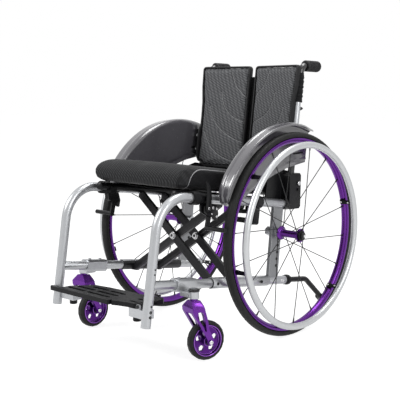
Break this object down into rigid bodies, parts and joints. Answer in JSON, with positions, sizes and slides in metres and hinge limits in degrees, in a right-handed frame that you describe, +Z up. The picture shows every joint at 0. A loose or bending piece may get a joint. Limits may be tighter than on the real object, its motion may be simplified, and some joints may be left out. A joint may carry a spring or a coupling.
{
  "type": "folding wheelchair",
  "caption": "Lightweight folding wheelchair with a cross brace, quick-release wheels, side guards, flip-up footplate and anti-tip wheel.",
  "frame": {"origin": "on the floor, in the middle of the open chair's length and width", "axes": "+Z up, the chair faces -Y and its left side is +X"},
  "size_m": [0.591, 0.832, 0.7951],
  "materials": {
    "silver_paint": "satin silver",
    "purple_anodised": "purple anodised",
    "black_paint": "satin black",
    "black_rubber": "matte",
    "black_plastic": "moulded",
    "grey_guard": "glossy dark grey",
    "handrim_silver": "polished",
    "steel": "plain",
    "black_cloth": "woven",
    "grey_mesh": "spacer mesh"
  },
  "bodies": {
    "right_frame": {"right_side_tube": "silver_paint", "right_lower_frame": "silver_paint", "right_front_saddle": "black_plastic", "right_rear_saddle": "black_paint", "right_caster_housing": "silver_paint", "right_foot_bracket": "silver_paint", "right_back_cane": "silver_paint", "right_push_grip": "black_rubber", "right_back_bracket": "black_paint", "right_guard_clamp": "black_paint", "right_side_guard": "grey_guard", "right_brake_clamp": "black_paint", "right_axle": "steel"},
    "left_frame": {"left_side_tube": "silver_paint", "left_lower_frame": "silver_paint", "left_front_saddle": "black_plastic", "left_rear_saddle": "black_paint", "left_caster_housing": "silver_paint", "left_foot_bracket": "silver_paint", "left_back_cane": "silver_paint", "left_push_grip": "black_rubber", "left_back_bracket": "black_paint", "left_guard_clamp": "black_paint", "left_side_guard": "grey_guard", "left_brake_clamp": "black_paint", "left_axle": "steel", "back_sling": "black_cloth", "left_back_pad": "grey_mesh", "right_back_pad": "grey_mesh", "hinge_pin": "steel"},
    "brace_a": {"brace_pair_a": "black_paint", "left_seat_tube": "black_paint", "seat_sling": "black_cloth", "seat_cushion": "grey_mesh"},
    "brace_b": {"brace_pair_b": "black_paint", "right_seat_tube": "black_paint"},
    "right_wheel": {"right_tyre": "black_rubber", "right_rim": "purple_anodised", "right_hub": "purple_anodised", "right_handrim": "handrim_silver"},
    "right_button": {"right_axle_button": "steel"},
    "right_fork": {"right_caster_fork": "purple_anodised"},
    "right_caster": {"right_caster_wheel": "purple_anodised", "right_caster_tyre": "black_rubber"},
    "right_lever": {"right_brake_lever": "black_plastic"},
    "right_shoe": {"right_brake_shoe": "black_paint"},
    "left_wheel": {"left_tyre": "black_rubber", "left_rim": "purple_anodised", "left_hub": "purple_anodised", "left_handrim": "handrim_silver"},
    "left_button": {"left_axle_button": "steel"},
    "left_fork": {"left_caster_fork": "purple_anodised"},
    "left_caster": {"left_caster_wheel": "purple_anodised", "left_caster_tyre": "black_rubber"},
    "left_lever": {"left_brake_lever": "black_plastic"},
    "left_shoe": {"left_brake_shoe": "black_paint"},
    "footplate": {"footplate_near": "black_plastic", "footplate_far": "black_plastic"},
    "anti_tip": {"anti_tip_tube": "black_paint"},
    "anti_tip_roller": {"anti_tip_wheel": "black_rubber"}
  },
  "joints": [
    {"name": "fold", "type": "hinge", "parent": "right_frame", "child": "brace_a", "pos_m": [-0.1797, -0.07369, 0.17302], "axis": [0, -0.9932, 0.1167], "range_deg": [0, 39], "deforming": ["seat_cushion", "seat_sling", "back_sling", "left_back_pad", "right_back_pad"]},
    {"name": "brace_cross", "type": "hinge", "parent": "brace_a", "child": "brace_b", "pos_m": [0, -0.06102, 0.28087], "axis": [0, -0.9932, 0.1167], "range_deg": [-78, 0]},
    {"name": "left_frame_hinge", "type": "hinge", "parent": "brace_b", "child": "left_frame", "pos_m": [0.1797, -0.07369, 0.17302], "axis": [0, -0.9932, 0.1167], "range_deg": [0, 39]},
    {"name": "footplate_flip", "type": "hinge", "parent": "left_frame", "child": "footplate", "pos_m": [0.1463, -0.37634, 0.1513], "axis": [0, 1, 0], "range_deg": [0, 90]},
    {"name": "right_wheel_spin", "type": "hinge", "parent": "right_frame", "child": "right_wheel", "pos_m": [-0.244, 0.12216, 0.29388], "axis": [1, 0, 0], "continuous": true},
    {"name": "right_axle_button_press", "type": "slide", "parent": "right_frame", "child": "right_button", "axis": [1, 0, 0], "range_m": [0, 0.003], "stiffness_N_per_m": 300, "springref_m": -0.001},
    {"name": "right_caster_swivel", "type": "hinge", "parent": "right_frame", "child": "right_fork", "pos_m": [-0.2226, -0.26454, 0.1615], "axis": [0, 0, 1], "continuous": true},
    {"name": "right_caster_spin", "type": "hinge", "parent": "right_fork", "child": "right_caster", "pos_m": [-0.2226, -0.22794, 0.05185], "axis": [1, 0, 0], "continuous": true},
    {"name": "right_brake", "type": "hinge", "parent": "right_frame", "child": "right_lever", "pos_m": [-0.2018, -0.19134, 0.3908], "axis": [1, 0, 0], "range_deg": [0, 50]},
    {"name": "right_brake_shoe_turn", "type": "hinge", "parent": "right_frame", "child": "right_shoe", "pos_m": [-0.1902, -0.17464, 0.3762], "axis": [1, 0, 0], "range_deg": [0, 13.2]},
    {"name": "left_wheel_spin", "type": "hinge", "parent": "left_frame", "child": "left_wheel", "pos_m": [0.244, 0.12216, 0.29388], "axis": [1, 0, 0], "continuous": true},
    {"name": "left_axle_button_press", "type": "slide", "parent": "left_frame", "child": "left_button", "axis": [-1, 0, 0], "range_m": [0, 0.003], "stiffness_N_per_m": 300, "springref_m": -0.001},
    {"name": "left_caster_swivel", "type": "hinge", "parent": "left_frame", "child": "left_fork", "pos_m": [0.2226, -0.26454, 0.1615], "axis": [0, 0, 1], "continuous": true},
    {"name": "left_caster_spin", "type": "hinge", "parent": "left_fork", "child": "left_caster", "pos_m": [0.23367, -0.22965, 0.05185], "axis": [0.9532, -0.3024, 0], "continuous": true},
    {"name": "left_brake", "type": "hinge", "parent": "left_frame", "child": "left_lever", "pos_m": [0.2018, -0.19134, 0.3908], "axis": [1, 0, 0], "range_deg": [0, 50]},
    {"name": "left_brake_shoe_turn", "type": "hinge", "parent": "left_frame", "child": "left_shoe", "pos_m": [0.1902, -0.17464, 0.3762], "axis": [1, 0, 0], "range_deg": [0, 13.2]},
    {"name": "anti_tip_swing", "type": "hinge", "parent": "left_frame", "child": "anti_tip", "pos_m": [0.1797, 0.17972, 0.14325], "axis": [0, 0.9932, -0.1167], "range_deg": [0, 180]},
    {"name": "anti_tip_spin", "type": "hinge", "parent": "anti_tip", "child": "anti_tip_roller", "pos_m": [0.1797, 0.39066, 0.042], "axis": [1, 0, 0], "continuous": true}
  ],
  "couplings": [
    {"joint": "brace_cross", "follows": "fold", "ratio": -2},
    {"joint": "left_frame_hinge", "follows": "fold", "ratio": 1},
    {"joint": "footplate_flip", "follows": "fold", "ratio": 2.3},
    {"joint": "right_brake_shoe_turn", "follows": "right_brake", "ratio": 0.26},
    {"joint": "left_brake_shoe_turn", "follows": "left_brake", "ratio": 0.26}
  ]
}
